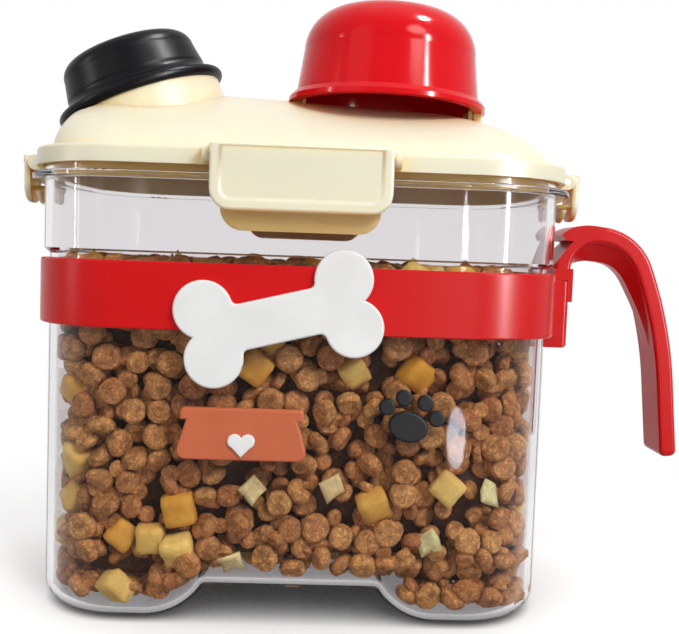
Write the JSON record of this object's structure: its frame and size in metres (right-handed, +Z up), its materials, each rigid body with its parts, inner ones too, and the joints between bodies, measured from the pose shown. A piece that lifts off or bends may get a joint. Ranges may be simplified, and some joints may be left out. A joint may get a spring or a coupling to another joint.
{
  "type": "dry food storage keeper",
  "caption": "clear storage keeper on two feet with a red band and open hook handle, cream domed lid with flap latches, tilted capped spout and a measuring cup parked upside down on the lid",
  "frame": {"origin": "on the floor under the middle of the whole keeper's bounding box", "axes": "+X runs to the handle, away from the spout; +Y runs to the back; +Z is up"},
  "size_m": [0.2478, 0.1342, 0.215],
  "materials": {
    "clear_tank": "clear, high gloss",
    "red_plastic": "satin gloss",
    "red_cup": "gloss",
    "cream_plastic": "satin gloss",
    "cap_rubber": "satin",
    "seal_rubber": "matte",
    "pin_steel": "satin",
    "food": "matte, crumbly",
    "patch_white": "matte",
    "patch_black": "matte",
    "patch_terracotta": "matte"
  },
  "bodies": {
    "keeper": {"tank": "clear_tank", "dry_food": "food", "handle_band": "red_plastic", "handle": "red_plastic", "patch_bone": "patch_white", "patch_paw_pad": "patch_black", "patch_paw_toes": "patch_black", "patch_bowl": "patch_terracotta", "patch_heart": "patch_white"},
    "lid": {"lid_shell": "cream_plastic", "lid_gasket": "seal_rubber", "spout_neck": "cream_plastic", "spout_seal": "seal_rubber", "latch_pin_front": "pin_steel", "latch_pin_right": "pin_steel", "latch_pin_back": "pin_steel", "latch_pin_left": "pin_steel"},
    "flap_front": {"latch_front": "cream_plastic"},
    "flap_right": {"latch_right": "cream_plastic"},
    "flap_back": {"latch_back": "cream_plastic"},
    "flap_left": {"latch_left": "cream_plastic"},
    "cap": {"spout_cap": "cap_rubber"},
    "cup": {"measuring_cup": "red_cup"}
  },
  "joints": [
    {"name": "lid_lift", "type": "slide", "parent": "keeper", "child": "lid", "axis": [0, 0, 1], "range_m": [0, 0.04]},
    {"name": "latch_front_hinge", "type": "hinge", "parent": "lid", "child": "flap_front", "pos_m": [-0.02082, -0.0619, 0.1532], "axis": [-1, 0, 0], "range_deg": [0, 100]},
    {"name": "latch_right_hinge", "type": "hinge", "parent": "lid", "child": "flap_right", "pos_m": [0.07708, 0, 0.1532], "axis": [0, -1, 0], "range_deg": [0, 100]},
    {"name": "latch_back_hinge", "type": "hinge", "parent": "lid", "child": "flap_back", "pos_m": [-0.02082, 0.0619, 0.1532], "axis": [1, 0, 0], "range_deg": [0, 100]},
    {"name": "latch_left_hinge", "type": "hinge", "parent": "lid", "child": "flap_left", "pos_m": [-0.11872, 0, 0.1532], "axis": [0, 1, 0], "range_deg": [0, 100]},
    {"name": "cap_pull", "type": "slide", "parent": "lid", "child": "cap", "axis": [-0.3649, 0, 0.9311], "range_m": [0, 0.03]},
    {"name": "cup_lift", "type": "slide", "parent": "lid", "child": "cup", "axis": [0.0297, 0, 0.9996], "range_m": [0, 0.03]}
  ]
}
